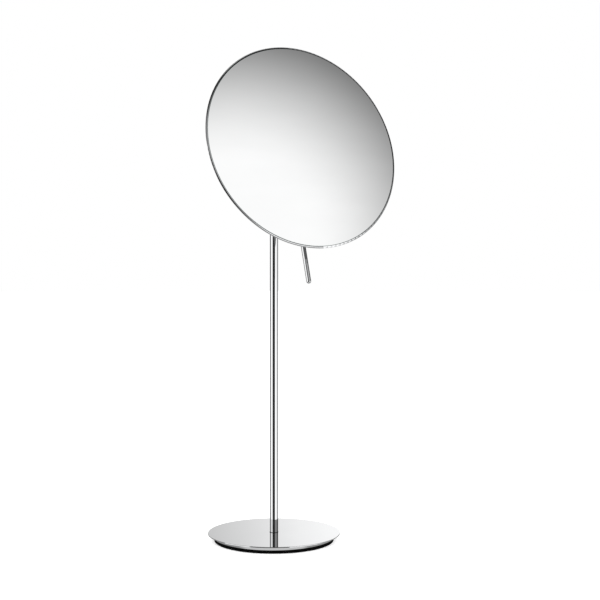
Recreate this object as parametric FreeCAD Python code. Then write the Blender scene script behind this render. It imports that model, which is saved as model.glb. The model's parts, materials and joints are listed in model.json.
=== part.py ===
import FreeCAD, Part
import math
import os

from FreeCAD import Rotation, Vector

# Free-standing extendable shaving mirror. Millimetres. The origin is on the floor, under the centre
# of the foot pad and on the post's axis. +Z is up, and the mirror faces -Y, tilted upwards.
# A weighted round base carries a telescopic post. On the post's inner tube turns a fork, and in the
# fork tilts the mirror head: a knuckle, a flat round glass in a thin shell and a rod to move it by.

# ---- Driving dimensions ------------------------------------------------------------------------

# Base
base_r = 64.0           # top edge of the plate
base_t = 4.5            # thickness of the plate
base_under_r = 58.2     # where the flat underside ends and a 45 degree slope begins
base_neck_r = 61.4      # where that slope ends and the thin rim begins
base_land = 0.7         # from the top down to the foot of the upright edge
pad_r = 57.8            # rubber foot, set back under the plate
pad_h = 3.1
pad_floor = 1.0
pad_wall = 4.5
socket_depth = 2.0      # how far the post stands in the plate
ring_w = 0.25           # black ring that seals the foot of the post
ring_h = 0.3

# Post
pivot_z = 370.1         # height of the tilt axis above the floor, with the post pushed in
travel = 180.0          # how far the inner tube pulls out
outer_r = 4.0
outer_wall = 0.6
inner_r = 3.0
inner_wall = 0.8
plug_len = 20.0         # threaded plug in the foot of the outer tube
collar_wall = 1.1
collar_skirt = 8.0      # part of the collar that grips the outer tube
collar_lip = 2.0
sleeve_h = 7.0          # friction sleeve in the collar
glide_len = 25.0        # guide on the inner tube's lower end
glide_stem = 10.0

# Swivel on top of the inner tube
head_r = 7.0
head_drop = 14.0        # from the tilt axis down to the foot of the head
head_rise = 9.5         # from the tilt axis up to the rim under the cap
flange_r = 4.6
flange_t = 2.0
stem_len = 14.0         # stem of the spigot in the inner tube
spindle_r = 2.5
spindle_thread_r = 2.0
nut_floor = 3.5         # from the tilt axis up to the seat of the swivel nut
nut_bore_r = 4.8
cap_dome = 2.2
cap_plug = 1.2
cap_land = 0.5          # upright edge under a cap's dome
swivel_nut_h = 2.4
swivel_spring_t = 0.6

# Fork and tilt hinge
arm_reach = 30.0        # from the post's axis forward to the tilt axis
arm_r = 5.0
knuckle_r = 7.0
knuckle_w = 12.0
ear_t = 4.5
ear_floor = 2.0         # wall left between the knuckle and the bolt's head or nut
bridge_t = 6.0
bridge_ease = 2.0       # rounding on the back of the bridge
pin_r = 2.5
bolt_head_r = 4.25
hinge_spring_t = 0.5
washer_set_back = 0.4   # friction washer's rim inside the knuckle's
hinge_cap_dome = 1.6

# Mirror head
tilt_up = 17.5          # degrees by which the mirror looks above the horizon at rest
mirror_r = 100.0
face_reach = 29.0       # from the tilt axis forward to the front of the rim
rim_wall = 1.6          # across the rounded front of the rim
rim_round = 0.9         # depth of that rounding
seal_w = 0.35           # black bead between the glass and the rim
seal_sunk = 0.1         # below the face of the glass
rim_land = 1.0          # from the front of the rim back to the bevel
shell_t = 1.0
glass_t = 2.0
glass_recess = 0.15
glass_bevel = 1.0       # ground off the back edge
glass_polish = 0.15     # taken off the front edge
tape_t = 0.85           # tape between the shell's floor and the glass
tape_in_r = 24.0
tape_out_r = 60.0
cushion_w = 5.0
cushion_set_back = 1.0  # from the inside of the shell's bevel
neck_r = 4.0
boss_r = 6.5
boss_reach = 11.0       # from the tilt axis to the near end of the hub's boss
hub_r = 22.0
hub_t = 2.5
hub_screw_circle = 15.0
hub_screw_head_r = 2.75
hub_screw_head_t = 0.6
hub_skin = 0.7          # wall left behind the tip of a hub screw
hub_bore_floor = 1.6    # wall left between the neck's bore and the shell
grub_up = 2.6           # grub screw's axis from the near end of the boss
rod_r = 2.25
rod_stud_r = 1.5
rod_reach = 125.4       # from the tilt axis down to the rounded end of the handle rod

rod_seat_depth = 0.4    # spot face in the knuckle under the rod's shoulder
rod_stud_wall = 1.1     # left between the rod's stud and the hinge's bore

# Fasteners
m5_r = 2.5
m3_r = 1.5
m5_nut_af = 8.0
m4_nut_af = 7.0
m5_key_af = 3.0
m3_key_af = 1.5
key_depth = 1.5
plug_spare = 6.0        # thread of the foot plug left empty above the base screw
screw_point = 0.5

# Clearances
thread_gap = 0.05       # between a screw and its thread, and round glued or pressed cylinders
run_gap = 0.03          # between a shaft and its bearing
slide_gap = 0.05        # between faces that rub
free_gap = 0.4          # between moving pieces that must not touch

# ---- Heights and reaches that follow -------------------------------------------------------------

plate_z = pad_h
base_top = plate_z + base_t
tube_foot = base_top - socket_depth

thrust_t = 0.5
head_foot = pivot_z - head_drop
thrust_z = head_foot - slide_gap - thrust_t
flange_z = thrust_z - flange_t
collar_top = flange_z - free_gap
sleeve_top = collar_top - collar_lip
tube_top = sleeve_top - sleeve_h
collar_foot = tube_top - collar_skirt
collar_r = outer_r + thread_gap + collar_wall
glide_top = tube_top - travel - free_gap

knuckle_half = knuckle_w / 2
washer_t = 0.5
ear_in = knuckle_half + slide_gap + washer_t
ear_out = ear_in + ear_t
seat = ear_in + ear_floor

glass_r = mirror_r - rim_wall - seal_w
glass_front = face_reach - glass_recess
glass_back = glass_front - glass_t
floor_front = glass_back - tape_t
floor_back = floor_front - shell_t
shell_depth = face_reach - floor_back
bevel_in = shell_depth - rim_land
wall_inside = mirror_r - shell_t * math.sqrt(2)

# ---- Shape helpers -------------------------------------------------------------------------------

UP = Vector(0, 0, 1)
ACROSS = Vector(1, 0, 0)
PIVOT = Vector(0, -arm_reach, pivot_z)


def turned(points, at=Vector(), along=UP):
    """A turned piece from its half section: (radius, height) corners, in order round the section.

    A corner with four numbers ends an arc: the first two are a point on the arc.
    """
    corners = [Vector(p[-2], 0, p[-1]) for p in points]
    edges = []
    for n, p in enumerate(points):
        start, end = corners[n - 1], corners[n]
        if len(p) == 4:
            edges.append(Part.Arc(start, Vector(p[0], 0, p[1]), end).toShape())
        else:
            edges.append(Part.LineSegment(start, end).toShape())
    solid = Part.Face(Part.Wire(edges)).revolve(Vector(), UP, 360)
    return placed(solid, at, along)


def placed(shape, at, along=UP):
    shape.Placement = FreeCAD.Placement(at, Rotation(UP, along)).multiply(shape.Placement)
    return shape


def rod(radius, low, high, at=Vector(), along=UP):
    """A round bar along its axis from low to high."""
    return placed(Part.makeCylinder(radius, high - low, Vector(0, 0, low)), at, along)


def pipe(outer, inner, low, high, at=Vector(), along=UP):
    return turned([(inner, low), (outer, low), (outer, high), (inner, high)], at, along)


def hexagon(across_flats, low, high, at=Vector(), along=UP):
    r = across_flats / math.sqrt(3)
    corners = [Vector(r * math.cos(a), r * math.sin(a), low) for a in
               (math.radians(60 * n) for n in range(7))]
    bar = Part.Face(Part.makePolygon(corners)).extrude(Vector(0, 0, high - low))
    return placed(bar, at, along)


def block(x, y, z):
    """A box between the two limits given for each direction."""
    return Part.makeBox(x[1] - x[0], y[1] - y[0], z[1] - z[0], Vector(x[0], y[0], z[0]))


def eased(shape, radius, wanted):
    """The shape with every edge that passes the test rounded."""
    return shape.makeFillet(radius, [e for e in shape.Edges if wanted(e)])


# ---- Base ----------------------------------------------------------------------------------------


def base_plate():
    edge = 0.2
    hole = m5_r + 3 * thread_gap
    socket = outer_r + thread_gap
    return turned([
        (hole, plate_z), (base_under_r, plate_z),
        (base_neck_r, plate_z + base_neck_r - base_under_r), (base_r, base_top - base_land),
        (base_r, base_top - edge), (base_r - edge, base_top), (socket, base_top),
        (socket, tube_foot), (hole, tube_foot)])


def foot_pad():
    ease = 0.3
    inside = pad_r - pad_wall
    return turned([
        (0, 0), (pad_r - ease, 0), (pad_r, ease), (pad_r, pad_h), (inside, pad_h),
        (inside, pad_floor), (0, pad_floor)])


def ballast_disc():
    depth = pad_h - pad_floor
    hole = m5_r + thread_gap
    rim = pad_r - pad_wall - free_gap
    return turned([
        (hole + depth, pad_floor), (rim, pad_floor), (rim, plate_z), (hole, plate_z)])


def base_screw():
    """Countersunk screw up through the ballast and the plate into the post."""
    head = pad_h - pad_floor
    tip = tube_foot + plug_len - plug_spare
    screw = turned([
        (0, pad_floor), (m5_r + head, pad_floor), (m5_r, plate_z), (m5_r, tip - screw_point),
        (m5_r - screw_point, tip), (0, tip)])
    return screw.cut(hexagon(m5_key_af, pad_floor - 1, pad_floor + key_depth))


# ---- Post ----------------------------------------------------------------------------------------


def outer_tube():
    return pipe(outer_r, outer_r - outer_wall, tube_foot, tube_top)


def foot_plug():
    bore = m5_r + thread_gap
    return pipe(outer_r - outer_wall - thread_gap / 2, bore, tube_foot, tube_foot + plug_len)


def tube_collar():
    """Threaded collar that grips the outer tube and holds the friction sleeve on its end."""
    ease = 0.4
    skirt = outer_r + thread_gap
    mouth = inner_r + free_gap
    return turned([
        (skirt, collar_foot), (collar_r - ease, collar_foot), (collar_r, collar_foot + ease),
        (collar_r, collar_top - ease), (collar_r - ease, collar_top), (mouth, collar_top),
        (mouth, sleeve_top), (skirt, sleeve_top)])


def friction_sleeve():
    return pipe(outer_r, inner_r + run_gap, tube_top, sleeve_top)


def inner_tube():
    return pipe(inner_r, inner_r - inner_wall, glide_top, flange_z)


def lower_glide():
    """Guide on the inner tube's foot; its shoulder stops under the sleeve at full height."""
    head = outer_r - outer_wall - slide_gap
    stem = inner_r - inner_wall - thread_gap / 2
    low = glide_top - glide_len
    ease = 0.6
    return turned([
        (0, low), (head - ease, low), (head, low + ease), (head, glide_top), (stem, glide_top),
        (stem, glide_top + glide_stem), (0, glide_top + glide_stem)])


def foot_ring():
    """Black ring round the foot of the post, on the plate."""
    return pipe(outer_r + ring_w, outer_r + thread_gap, base_top, base_top + ring_h)


# ---- Swivel --------------------------------------------------------------------------------------


def nut_seat_z():
    return pivot_z + nut_floor


def swivel_spigot():
    """Brass spigot pressed in the inner tube: flange, bearing spindle and thread for the nut."""
    stem = inner_r - inner_wall - thread_gap / 2
    shoulder = nut_seat_z() - free_gap
    top = pivot_z + head_rise - cap_plug - free_gap
    return turned([
        (0, flange_z - stem_len), (stem, flange_z - stem_len), (stem, flange_z),
        (flange_r, flange_z), (flange_r, flange_z + flange_t), (spindle_r, flange_z + flange_t),
        (spindle_r, shoulder), (spindle_thread_r, shoulder), (spindle_thread_r, top), (0, top)])


def thrust_washer():
    return pipe(flange_r, spindle_r + thread_gap, thrust_z, thrust_z + thrust_t)


def swivel_spring_washer():
    low = nut_seat_z() + slide_gap
    rim = m4_nut_af / math.sqrt(3)
    return pipe(rim, spindle_thread_r + thread_gap, low, low + swivel_spring_t)


def swivel_nut():
    low = nut_seat_z() + slide_gap + swivel_spring_t
    high = low + swivel_nut_h
    nut = hexagon(m4_nut_af, low, high)
    return nut.cut(rod(spindle_thread_r + thread_gap, low - 1, high + 1))


def ear_span(side):
    """The inner and outer X of one ear, as low and high."""
    return sorted((side * ear_in, side * ear_out))


def swivel_fork():
    """Head that turns on the spigot, with an arm forward to the two ears of the hinge."""
    low, high = pivot_z - knuckle_r, pivot_z + knuckle_r
    bridge_front = -arm_reach + knuckle_r + 2 * free_gap
    bridge_back = bridge_front + bridge_t
    head = rod(head_r, head_foot, pivot_z + head_rise)
    arm = rod(arm_r, 0, -bridge_front, Vector(0, 0, pivot_z), Vector(0, -1, 0))
    bridge = block((-ear_out, ear_out), (bridge_front, bridge_back), (low, high))
    bridge = eased(bridge, bridge_ease, lambda e: all(
        v.Point.y > bridge_back - 0.01 for v in e.Vertexes))
    fork = head.fuse([arm, bridge])
    for side in (-1, 1):
        x = ear_span(side)
        web = block(x, (-arm_reach, bridge_front), (low, high))
        fork = fork.fuse([web, rod(knuckle_r, *x, PIVOT, ACROSS)])
    fork = fork.removeSplitter()
    nut_room = m5_nut_af / math.sqrt(3) + thread_gap
    for side, radius in ((-1, bolt_head_r + thread_gap), (1, nut_room)):
        x = sorted((side * seat, side * (ear_out + 1)))
        fork = fork.cut(rod(radius, *x, PIVOT, ACROSS))
    fork = fork.cut(rod(pin_r + thread_gap, -ear_out, ear_out, PIVOT, ACROSS))
    fork = fork.cut(rod(spindle_r + run_gap, head_foot - 1, nut_seat_z()))
    return fork.cut(rod(nut_bore_r, nut_seat_z(), pivot_z + head_rise + 1))


def domed_cap(radius, dome, at, along):
    """A disc with a low domed face."""
    mid = radius / 2
    curve = (radius ** 2 + dome ** 2) / (2 * dome)
    rise = math.sqrt(curve ** 2 - mid ** 2) - (curve - dome)
    return turned([
        (0, 0), (radius, 0), (radius, cap_land),
        (mid, cap_land + rise, 0, cap_land + dome)], at, along)


def top_cap():
    """Domed cap with a plug that presses in the bore over the swivel nut."""
    rim = Vector(0, 0, pivot_z + head_rise)
    plug = rod(nut_bore_r - thread_gap, -cap_plug, 0, rim)
    return domed_cap(head_r, cap_dome, rim, UP).fuse(plug)


# ---- Tilt hinge ----------------------------------------------------------------------------------


def hinge_bolt():
    """Low-headed bolt across the fork; the knuckle turns on its shank."""
    tip = ear_out - free_gap / 2
    bolt = turned([
        (0, -tip), (bolt_head_r, -tip), (bolt_head_r, -seat), (pin_r, -seat),
        (pin_r, tip), (0, tip)], PIVOT, ACROSS)
    return bolt.cut(hexagon(m5_key_af, -tip - 1, -tip + key_depth, PIVOT, ACROSS))


def hinge_spring_washer():
    return pipe(m5_nut_af / 2, m5_r + thread_gap, seat, seat + hinge_spring_t, PIVOT, ACROSS)


def hinge_nut():
    low, high = seat + hinge_spring_t, ear_out - free_gap / 4
    nut = hexagon(m5_nut_af, low, high, PIVOT, ACROSS)
    return nut.cut(rod(m5_r + thread_gap, low - 1, high + 1, PIVOT, ACROSS))


def friction_washers():
    """One nylon washer on each side of the knuckle."""
    low = knuckle_half + slide_gap
    rim = knuckle_r - washer_set_back
    pair = [pipe(rim, pin_r + thread_gap, side * low, side * (low + washer_t),
                 PIVOT, ACROSS) for side in (-1, 1)]
    return Part.makeCompound(pair)


def hinge_caps():
    """Polished caps over the bolt's head and its nut."""
    caps = [domed_cap(knuckle_r, hinge_cap_dome, PIVOT + ACROSS * side * ear_out, ACROSS * side)
            for side in (-1, 1)]
    return Part.makeCompound(caps)


# ---- Mirror head: drawn with the tilt axis on X and the mirror facing up, then tilted into place --


def tilt_knuckle():
    end = floor_back - hub_bore_floor - slide_gap
    barrel = rod(knuckle_r, -knuckle_half, knuckle_half, Vector(), ACROSS)
    neck = rod(neck_r, 0, end)
    knuckle = barrel.fuse(neck).removeSplitter()
    knuckle = knuckle.cut(rod(pin_r + run_gap, -knuckle_w, knuckle_w, Vector(), ACROSS))
    down = Vector(0, -1, 0)
    drilled = rod_stud_start() - slide_gap
    knuckle = knuckle.cut(rod(rod_stud_r + thread_gap, drilled, knuckle_r + 1, Vector(), down))
    return knuckle.cut(rod(rod_r + thread_gap, rod_seat(), knuckle_r + 1, Vector(), down))


def rod_seat():
    """Where the handle rod's shoulder meets the spot face on the knuckle."""
    return knuckle_r - rod_seat_depth


def rod_stud_start():
    return pin_r + rod_stud_wall


def handle_rod():
    end = rod_reach - rod_r
    bow = rod_r * math.sqrt(0.5)
    return turned([
        (0, rod_stud_start()), (rod_stud_r, rod_stud_start()), (rod_stud_r, rod_seat()),
        (rod_r, rod_seat()), (rod_r, end), (bow, end + bow, 0, rod_reach)],
        Vector(), Vector(0, -1, 0))


def hub_screw_places():
    return [Vector(hub_screw_circle * math.cos(a), hub_screw_circle * math.sin(a), 0)
            for a in (math.radians(90 + 120 * n) for n in range(3))]


def hub_flange():
    """Turned hub on the back of the shell, with a boss that takes the neck."""
    ease = 0.6
    cove = 3.0
    back = floor_back - hub_t
    bore = neck_r + thread_gap
    bore_end = floor_back - hub_bore_floor
    on_cove = cove * (1 - math.sqrt(0.5))
    hub = turned([
        (0, floor_back), (hub_r, floor_back), (hub_r, back + ease), (hub_r - ease, back),
        (boss_r + cove, back), (boss_r + on_cove, back - on_cove, boss_r, back - cove),
        (boss_r, boss_reach + ease), (boss_r - ease, boss_reach), (bore, boss_reach),
        (bore, bore_end), (0, bore_end)])
    hub = hub.cut(rod(m3_r + thread_gap, 0, boss_r + 1, grub_place(), Vector(0, -1, 0)))
    tapped = back + hub_skin - slide_gap
    for place in hub_screw_places():
        hub = hub.cut(rod(m3_r + thread_gap, tapped, floor_back + 1, place))
    return hub


def grub_place():
    return Vector(0, 0, boss_reach + grub_up)


def neck_grub_screw():
    down = Vector(0, -1, 0)
    end = boss_r - free_gap / 2
    screw = rod(m3_r, neck_r + thread_gap, end, grub_place(), down)
    return screw.cut(hexagon(m3_key_af, end - m3_key_af, end + 1, grub_place(), down))


def hub_screws():
    """Three low-headed screws from inside the shell into the hub."""
    foot = floor_back - hub_t + hub_skin
    top = floor_front + hub_screw_head_t
    return Part.makeCompound([
        turned([
            (0, foot), (m3_r, foot), (m3_r, floor_front), (hub_screw_head_r, floor_front),
            (hub_screw_head_r, top), (0, top)], place)
        for place in hub_screw_places()])


def mirror_shell():
    """Shallow pan behind the glass: a rounded rim and a bevel round the back."""
    inside = mirror_r - rim_wall
    curve = (rim_wall ** 2 + rim_round ** 2) / (2 * rim_round)
    half_turn = math.asin(rim_wall / curve) / 2
    back_r = mirror_r - bevel_in
    turn_in = rim_land + wall_inside - inside
    shell = turned([
        (0, floor_back), (back_r, floor_back), (mirror_r, face_reach - rim_land),
        (mirror_r, face_reach - rim_round),
        (inside + curve * math.sin(half_turn), face_reach - curve * (1 - math.cos(half_turn)),
         inside, face_reach),
        (inside, face_reach - turn_in), (floor_rim_r(), floor_front), (0, floor_front)])
    for place in hub_screw_places():
        shell = shell.cut(rod(m3_r + 2 * thread_gap, floor_back - 1, floor_front + 1, place))
    return shell


def floor_rim_r():
    """Radius at which the shell's floor meets the inside of its bevel."""
    return wall_inside - (face_reach - floor_front - rim_land)


def mirror_glass():
    """Flat glass, silvered on its back, with a polished arris in front and a ground one behind."""
    return turned([
        (0, glass_back), (glass_r - glass_bevel, glass_back), (glass_r, glass_back + glass_bevel),
        (glass_r, glass_front - glass_polish), (glass_r - glass_polish, glass_front),
        (0, glass_front)])


def glass_seal():
    """Bead between the glass's edge and the rim, down to where the glass is bevelled."""
    return pipe(glass_r + seal_w, glass_r, glass_back + glass_bevel,
                glass_front - glass_polish - seal_sunk)


def glass_tape():
    return pipe(tape_out_r, tape_in_r, floor_front, glass_back)


def edge_cushion():
    outer = floor_rim_r() - cushion_set_back
    return pipe(outer, outer - cushion_w, floor_front, glass_back)


# ---- Writing -------------------------------------------------------------------------------------

STANDING = [base_plate, foot_pad, ballast_disc, base_screw, outer_tube, foot_plug, tube_collar,
            friction_sleeve, foot_ring, inner_tube, lower_glide, swivel_spigot, thrust_washer,
            swivel_spring_washer, swivel_nut, swivel_fork, top_cap, hinge_bolt,
            hinge_spring_washer, hinge_nut, friction_washers, hinge_caps]
TILTED = [tilt_knuckle, handle_rod, hub_flange, neck_grub_screw, hub_screws, mirror_shell,
          mirror_glass, glass_seal, glass_tape, edge_cushion]


def main():
    os.makedirs("parts", exist_ok=True)
    tilt = FreeCAD.Placement(PIVOT, Rotation(ACROSS, 90 - tilt_up))
    for piece in STANDING:
        piece().exportStep(f"parts/{piece.__name__}.step")
    for piece in TILTED:
        shape = piece()
        shape.Placement = tilt.multiply(shape.Placement)
        shape.exportStep(f"parts/{piece.__name__}.step")


main()
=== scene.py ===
import json
import math

import bpy
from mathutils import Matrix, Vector

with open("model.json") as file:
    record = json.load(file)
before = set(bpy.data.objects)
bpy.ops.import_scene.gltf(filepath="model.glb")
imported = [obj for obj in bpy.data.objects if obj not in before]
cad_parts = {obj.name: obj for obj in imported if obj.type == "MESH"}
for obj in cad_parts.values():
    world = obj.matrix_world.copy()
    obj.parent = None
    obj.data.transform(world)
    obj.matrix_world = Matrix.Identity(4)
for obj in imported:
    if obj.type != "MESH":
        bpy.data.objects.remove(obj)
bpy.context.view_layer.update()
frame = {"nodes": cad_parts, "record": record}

# Looks of the extendable shaving mirror: chrome, silvered glass and black rubber in a plain studio.
# Metres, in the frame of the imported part: the post's axis is Z and the mirror faces -Y, tilted up.

MIRROR_TILT = math.radians(17.5)        # as in the CAD: how far above the horizon the mirror looks
MIRROR_FACES = (0, -math.cos(MIRROR_TILT), math.sin(MIRROR_TILT))

# ---- The photographer's place ----------------------------------------------------------------------

VIEW_AZIMUTH = math.radians(-29.8)      # the camera stands to the left of the mirror's front
CAMERA_SIDE = 0.0252                    # to the right of the post, across the view
CAMERA_AWAY = 1.2929                    # from the post's axis, along the view
CAMERA_HEIGHT = 0.2933
LENS_MM = 80.0
SENSOR_MM = 36.0
FRAMING_SHIFT = -0.1045                 # the level camera is framed from the foot to the top

# ---- Node building ---------------------------------------------------------------------------------


class Nodes:
    """Builds a node tree: an input that is a socket is linked, and any other value is set."""

    def __init__(self, tree):
        self.tree = tree
        tree.nodes.clear()

    def add(self, kind, inputs=None, **settings):
        node = self.tree.nodes.new(kind)
        for name, value in settings.items():
            setattr(node, name, value)
        for key, value in (inputs or {}).items():
            self.feed(node.inputs[key], value)
        return node

    def feed(self, socket, value):
        if isinstance(value, bpy.types.NodeSocket):
            self.tree.links.new(value, socket)
        else:
            socket.default_value = value

    def maths(self, operation, *values):
        node = self.add("ShaderNodeMath", operation=operation)
        for socket, value in zip(node.inputs, values):
            self.feed(socket, value)
        return node.outputs[0]

    def ramp(self, value, stops):
        """A colour ramp from (position, grey or colour) stops."""
        node = self.add("ShaderNodeValToRGB", {"Fac": value})
        ramp = node.color_ramp
        for k, (place, colour) in enumerate(stops):
            stop = ramp.elements[k] if k < 2 else ramp.elements.new(place)
            stop.position = place
            stop.color = (*colour, 1) if isinstance(colour, tuple) else (colour, colour, colour, 1)
        return node.outputs["Color"]

    def smooth(self, value, start, end):
        """0 up to start, 1 from end, eased between; start may be above end."""
        node = self.add(
            "ShaderNodeMapRange", {"Value": value, "From Min": start, "From Max": end},
            interpolation_type="SMOOTHSTEP")
        return node.outputs["Result"]

    def mix(self, share, a, b):
        node = self.add("ShaderNodeMix", data_type="RGBA")
        self.feed(node.inputs["Factor"], share)
        self.feed(node.inputs[6], a if isinstance(a, bpy.types.NodeSocket) else (a, a, a, 1))
        self.feed(node.inputs[7], b if isinstance(b, bpy.types.NodeSocket) else (b, b, b, 1))
        return node.outputs[2]

    def scaled(self, colour, times):
        node = self.add("ShaderNodeVectorMath", {0: colour, "Scale": times}, operation="SCALE")
        return node.outputs[0]


# ---- Studio ----------------------------------------------------------------------------------------

WHITE_WALL = 1.8
DARK = 0.05                             # the unlit camera side
OVERHEAD = 0.8
TABLE = 0.42
UNDERFOOT = 0.9                         # the table straight below
LAMP_ROUND = math.radians(61.3)         # from the camera's side to the right
LAMP_UP = math.radians(30.4)
LAMP_CORE = 3.5                         # degrees from the lamp's middle, full brightness
LAMP_EDGE = 11.0                        # degrees from the lamp's middle, where it has faded out
FLOOR_RADIUS = 6.0
FLOOR_CORNERS = 48
SOFTBOX_PLACE = Vector((-1.2, -1.5, 2.2))
SOFTBOX_AIM = Vector((0, 0, 0.2))


def studio_reflections(n):
    """Brightness of the studio in every direction, laid out square to the camera.

    A dark camera side, a wide white wall at the right and a narrower one at the left, a pale wall
    behind, a round lamp with one soft edge up at the right, and a table below.
    """
    coords = n.add("ShaderNodeTexCoord").outputs["Generated"]
    turn = n.add("ShaderNodeVectorRotate", {"Vector": coords, "Angle": -VIEW_AZIMUTH},
                 rotation_type="Z_AXIS")
    x, y, z = n.add("ShaderNodeSeparateXYZ", {"Vector": turn.outputs[0]}).outputs
    round_deg = n.maths("DEGREES", n.maths("ARCTAN2", x, n.maths("MULTIPLY", y, -1.0)))
    round_share = n.maths("DIVIDE", n.maths("ADD", round_deg, 180.0), 360.0)
    up_deg = n.maths("DEGREES", n.maths("ARCSINE", z))

    def ring(stops):
        """Brightness round the horizon: degrees from the camera's side, to the right, and value."""
        shares = n.ramp(round_share, [((d + 180) / 360, v / WHITE_WALL) for d, v in stops])
        return n.scaled(shares, WHITE_WALL)

    left = [(-94, 0.3), (-91, WHITE_WALL), (-42, WHITE_WALL), (-39, DARK)]
    level = ring([(-180, 0.3), *left, (26.5, DARK), (29, WHITE_WALL), (78, WHITE_WALL), (92, 0.85),
                  (100, 0.5), (150, 0.45), (180, 0.3)])
    above = ring([(-180, 1.25), (-176, 0.8), (-165, 0.5), *left, (26, DARK), (30, 0.6), (92, 0.5),
                  (100, 0.08), (165, 0.08), (172, 1.4), (178, 1.4), (180, 1.25)])
    walls = n.mix(n.smooth(up_deg, 3.0, 9.0), level, above)
    high = ring([(-180, 0.4), (-95, 0.5), (-20, 0.35), (-5, 0.15), (8, 0.15), (20, 0.7), (48, 0.8),
                 (56, DARK), (110, DARK), (130, 0.4)])
    rear_ceiling = ring([(-130, 0.35), (-100, DARK), (100, DARK), (130, 0.35)])
    ceiling = n.mix(n.smooth(up_deg, 74.0, 86.0), rear_ceiling, OVERHEAD)

    lamp = (math.sin(LAMP_ROUND) * math.cos(LAMP_UP), -math.cos(LAMP_ROUND) * math.cos(LAMP_UP),
            math.sin(LAMP_UP))
    facing = n.add("ShaderNodeVectorMath", {0: turn.outputs[0], 1: lamp}, operation="DOT_PRODUCT")
    off_deg = n.maths("DEGREES", n.maths("ARCCOSINE", facing.outputs["Value"]))
    glow = n.mix(n.smooth(off_deg, LAMP_EDGE, LAMP_CORE), DARK, 1.0)

    upper = n.mix(n.smooth(up_deg, 52.0, 40.0), ceiling, high)
    upper = n.mix(n.smooth(up_deg, 27.0, 20.0), upper, walls)
    lit = n.add("ShaderNodeMix", {"Factor": 1.0, 6: upper, 7: glow}, data_type="RGBA",
                blend_type="LIGHTEN").outputs[2]
    low = n.mix(n.smooth(up_deg, -52.0, -62.0), TABLE, UNDERFOOT)
    return n.mix(n.smooth(up_deg, -15.0, -30.0), lit, low)


def build_world():
    world = bpy.data.worlds.new("studio")
    bpy.context.scene.world = world
    world.use_nodes = True
    n = Nodes(world.node_tree)
    path = n.add("ShaderNodeLightPath")
    soft_light = 1.3
    seen = n.add("ShaderNodeBackground", {"Color": (1, 1, 1, 1), "Strength": 1.0})
    soft = n.add("ShaderNodeBackground", {"Color": (1, 1, 1, 1), "Strength": soft_light})
    shown = n.add("ShaderNodeBackground", {"Color": studio_reflections(n), "Strength": 1.0})
    by_gloss = n.add("ShaderNodeMixShader",
                     {0: path.outputs["Is Glossy Ray"], 1: soft.outputs[0], 2: shown.outputs[0]})
    by_eye = n.add("ShaderNodeMixShader",
                   {0: path.outputs["Is Camera Ray"], 1: by_gloss.outputs[0], 2: seen.outputs[0]})
    n.add("ShaderNodeOutputWorld", {"Surface": by_eye.outputs[0]})


def build_floor():
    mesh = bpy.data.meshes.new("floor")
    angles = [2 * math.pi * k / FLOOR_CORNERS for k in range(FLOOR_CORNERS)]
    outline = [(FLOOR_RADIUS * math.cos(a), FLOOR_RADIUS * math.sin(a), 0.0) for a in angles]
    mesh.from_pydata(outline, [], [list(range(FLOOR_CORNERS))])
    floor = bpy.data.objects.new("floor", mesh)
    bpy.context.scene.collection.objects.link(floor)
    material = bpy.data.materials.new("pale_floor")
    material.use_nodes = True
    n = Nodes(material.node_tree)
    coords = n.add("ShaderNodeTexCoord").outputs["Object"]
    grain = n.add("ShaderNodeTexNoise", {"Vector": coords, "Scale": 3.0, "Detail": 4.0})
    pale = n.ramp(grain.outputs["Fac"], [(0.3, 0.86), (0.7, 0.9)])
    matt = n.add("ShaderNodeBsdfDiffuse", {"Color": pale})
    lit = n.add("ShaderNodeEmission", {"Color": (1, 1, 1, 1), "Strength": 0.5})
    both = n.add("ShaderNodeAddShader", {0: matt.outputs[0], 1: lit.outputs[0]})
    n.add("ShaderNodeOutputMaterial", {"Surface": both.outputs[0]})
    mesh.materials.append(material)
    floor.visible_glossy = False


def build_light():
    data = bpy.data.lights.new("softbox", "AREA")
    data.shape = "DISK"
    data.size = 1.6
    data.energy = 9.0
    lamp = bpy.data.objects.new("softbox", data)
    lamp.location = SOFTBOX_PLACE
    lamp.rotation_euler = (SOFTBOX_AIM - SOFTBOX_PLACE).to_track_quat("-Z", "Y").to_euler()
    lamp.visible_glossy = False
    bpy.context.scene.collection.objects.link(lamp)


def build_camera():
    data = bpy.data.cameras.new("camera")
    data.lens = LENS_MM
    data.sensor_width = SENSOR_MM
    data.shift_y = FRAMING_SHIFT
    camera = bpy.data.objects.new("camera", data)
    side = Vector((math.cos(VIEW_AZIMUTH), math.sin(VIEW_AZIMUTH), 0))
    away = Vector((-math.sin(VIEW_AZIMUTH), math.cos(VIEW_AZIMUTH), 0))
    camera.location = side * CAMERA_SIDE - away * CAMERA_AWAY + Vector((0, 0, CAMERA_HEIGHT))
    camera.rotation_euler = (math.radians(90), 0, VIEW_AZIMUTH)
    bpy.context.scene.collection.objects.link(camera)
    bpy.context.scene.camera = camera


# ---- Materials -------------------------------------------------------------------------------------


def start_material(name):
    material = bpy.data.materials.new(name)
    material.use_nodes = True
    n = Nodes(material.node_tree)
    return material, n, n.add("ShaderNodeTexCoord")


def finish_material(n, inputs):
    shader = n.add("ShaderNodeBsdfPrincipled", inputs)
    n.add("ShaderNodeOutputMaterial", {"Surface": shader.outputs[0]})


def stretched(n, coords, scale):
    return n.add("ShaderNodeMapping", {"Vector": coords, "Scale": scale}).outputs[0]


def noise(n, vector, scale, detail=3.0, roughness=0.5):
    return n.add("ShaderNodeTexNoise", {
        "Vector": vector, "Scale": scale, "Detail": detail, "Roughness": roughness}).outputs["Fac"]


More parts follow.
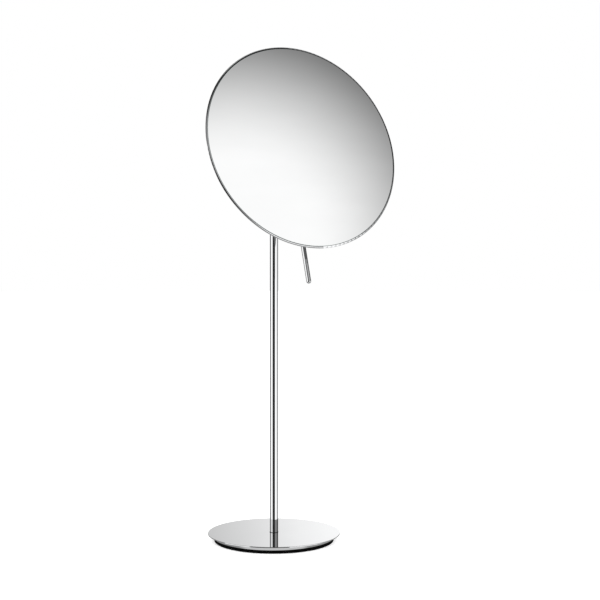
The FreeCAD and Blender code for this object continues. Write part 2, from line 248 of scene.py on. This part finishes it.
def chrome(name, polish, relief_strength=0.05, tint=(0.565, 0.57, 0.575)):
    """Bright chrome plate: faint clouding, buffing lines along one direction and fine hairlines.

    polish gives how much finer the buffing lines are along X, Y and Z.
    """
    material, n, coords = start_material(name)
    place = coords.outputs["Object"]
    cloud = noise(n, place, 28.0, 4.0)
    lines = noise(n, stretched(n, place, polish), 1.0, 2.0, 0.6)
    hair = noise(n, stretched(n, place, tuple(4 * p for p in polish)), 1.0, 1.0)
    dim = tuple(0.965 * c for c in tint)
    colour = n.ramp(n.maths("ADD", n.maths("MULTIPLY", cloud, 0.6), n.maths("MULTIPLY", lines, 0.4)),
                    [(0.35, dim), (0.65, tint)])
    worn = n.maths("ADD", n.maths("MULTIPLY", cloud, 0.01), n.maths("MULTIPLY", lines, 0.01))
    scratch = n.maths("MULTIPLY", n.smooth(hair, 0.66, 0.74), 0.04)
    rough = n.maths("ADD", worn, scratch)
    relief = n.add("ShaderNodeBump", {
        "Height": lines, "Strength": relief_strength, "Distance": 0.00002})
    finish_material(n, {"Base Color": colour, "Metallic": 1.0, "Roughness": rough,
                        "Normal": relief.outputs["Normal"]})
    return material


def silvered_glass():
    """Mirror glass: silver seen from the front, a greenish ground edge, grey paint on the back."""
    material, n, coords = start_material("mirror_glass")
    place = coords.outputs["Object"]
    facing = n.add("ShaderNodeVectorMath", {
        0: coords.outputs["Normal"], 1: MIRROR_FACES}, operation="DOT_PRODUCT")
    front = n.smooth(facing.outputs["Value"], 0.9, 0.97)
    back = n.smooth(facing.outputs["Value"], -0.9, -0.97)
    wiped = noise(n, stretched(n, place, (22.0, 22.0, 60.0)), 1.0, 5.0, 0.55)
    silver = n.ramp(wiped, [(0.3, (0.955, 0.96, 0.96)), (0.7, (0.975, 0.98, 0.98))])
    ground = n.ramp(noise(n, place, 900.0), [(0.3, (0.10, 0.15, 0.14)), (0.7, (0.20, 0.27, 0.25))])
    paint = n.ramp(noise(n, place, 320.0), [(0.3, (0.20, 0.21, 0.22)), (0.7, (0.27, 0.28, 0.29))])
    sides = n.mix(back, ground, paint)
    colour = n.mix(front, sides, silver)
    haze = n.maths("MULTIPLY", n.smooth(wiped, 0.5, 0.85), 0.012)
    rough = n.maths("ADD", n.maths("MULTIPLY", n.maths("SUBTRACT", 1.0, front), 0.35), haze)
    finish_material(n, {"Base Color": colour, "Metallic": front, "Roughness": rough})
    return material


def rubber():
    """Matt black moulded rubber with a fine grain."""
    material, n, coords = start_material("foot_rubber")
    place = coords.outputs["Object"]
    grain = noise(n, place, 2200.0, 3.0, 0.6)
    cloud = noise(n, place, 60.0, 3.0)
    colour = n.ramp(cloud, [(0.3, (0.001, 0.001, 0.001)), (0.7, (0.003, 0.003, 0.003))])
    rough = n.maths("ADD", n.maths("MULTIPLY", grain, 0.18), 0.66)
    relief = n.add("ShaderNodeBump", {"Height": grain, "Strength": 0.5, "Distance": 0.00008})
    finish_material(n, {"Base Color": colour, "Roughness": rough, "Specular IOR Level": 0.02,
                        "Normal": relief.outputs["Normal"]})
    return material


def plated_steel():
    """Zinc-plated screws and nuts: a spangled grey with turning marks."""
    material, n, coords = start_material("plated_steel")
    place = coords.outputs["Object"]
    spangle = n.add("ShaderNodeTexVoronoi", {"Vector": place, "Scale": 900.0}).outputs["Distance"]
    marks = noise(n, stretched(n, place, (400.0, 400.0, 6000.0)), 1.0, 2.0)
    colour = n.ramp(n.maths("MULTIPLY_ADD", spangle, 0.5, n.maths("MULTIPLY", marks, 0.5)),
                    [(0.2, (0.44, 0.45, 0.46)), (0.7, (0.66, 0.66, 0.65))])
    rough = n.maths("MULTIPLY_ADD", marks, 0.25, 0.2)
    relief = n.add("ShaderNodeBump", {"Height": marks, "Strength": 0.3, "Distance": 0.00003})
    finish_material(n, {"Base Color": colour, "Metallic": 1.0, "Roughness": rough,
                        "Normal": relief.outputs["Normal"]})
    return material


def turned_brass():
    """Turned brass with marks round the axis and a little tarnish."""
    material, n, coords = start_material("turned_brass")
    place = coords.outputs["Object"]
    marks = noise(n, stretched(n, place, (120.0, 120.0, 5000.0)), 1.0, 2.0)
    tarnish = noise(n, place, 150.0, 4.0)
    colour = n.ramp(tarnish, [(0.35, (0.52, 0.36, 0.15)), (0.65, (0.72, 0.55, 0.27))])
    rough = n.maths("MULTIPLY_ADD", marks, 0.2, 0.16)
    relief = n.add("ShaderNodeBump", {"Height": marks, "Strength": 0.3, "Distance": 0.00003})
    finish_material(n, {"Base Color": colour, "Metallic": 1.0, "Roughness": rough,
                        "Normal": relief.outputs["Normal"]})
    return material


def moulded_nylon():
    """Off-white moulded nylon, slightly cloudy."""
    material, n, coords = start_material("moulded_nylon")
    place = coords.outputs["Object"]
    cloud = noise(n, place, 300.0, 3.0)
    grain = noise(n, place, 4000.0, 2.0)
    colour = n.ramp(cloud, [(0.3, (0.70, 0.69, 0.64)), (0.7, (0.80, 0.79, 0.75))])
    rough = n.maths("MULTIPLY_ADD", grain, 0.2, 0.35)
    relief = n.add("ShaderNodeBump", {"Height": grain, "Strength": 0.3, "Distance": 0.00003})
    finish_material(n, {"Base Color": colour, "Roughness": rough, "Subsurface Weight": 0.15,
                        "Subsurface Scale": 0.001, "Normal": relief.outputs["Normal"]})
    return material


def closed_cell_foam():
    """Black closed-cell foam and tape."""
    material, n, coords = start_material("closed_cell_foam")
    place = coords.outputs["Object"]
    cells = n.add("ShaderNodeTexVoronoi", {"Vector": place, "Scale": 2600.0}).outputs["Distance"]
    colour = n.ramp(cells, [(0.1, (0.012, 0.012, 0.012)), (0.7, (0.05, 0.05, 0.05))])
    rough = n.maths("MULTIPLY_ADD", cells, 0.15, 0.75)
    relief = n.add("ShaderNodeBump", {"Height": cells, "Strength": 0.6, "Distance": 0.0001})
    finish_material(n, {"Base Color": colour, "Roughness": rough,
                        "Normal": relief.outputs["Normal"]})
    return material


def dress_nodes():
    around, along = 9000.0, 300.0
    by_slot = {
        "plate_chrome": chrome("plate_chrome", (900.0, 900.0, 900.0)),
        "tube_chrome": chrome("tube_chrome", (along, along, around), 0.012),
        "fitting_chrome": chrome("fitting_chrome", (1500.0, 1500.0, 3000.0)),
        "rod_chrome": chrome("rod_chrome", (2500.0, 2500.0, 2500.0)),
        "shell_chrome": chrome("shell_chrome", (900.0, 900.0, 900.0)),
        "silvered_glass": silvered_glass(),
        "black_rubber": rubber(),
        "plain_steel": plated_steel(),
        "brass": turned_brass(),
        "nylon": moulded_nylon(),
        "black_foam": closed_cell_foam(),
    }
    for part in frame["record"]["subparts"]:
        mesh = frame["nodes"][part["node"]].data
        for k in range(len(mesh.materials)):
            mesh.materials[k] = by_slot[part["material_slot"]]


build_world()
build_floor()
build_light()
build_camera()
dress_nodes()
bpy.context.scene.view_settings.view_transform = "Standard"
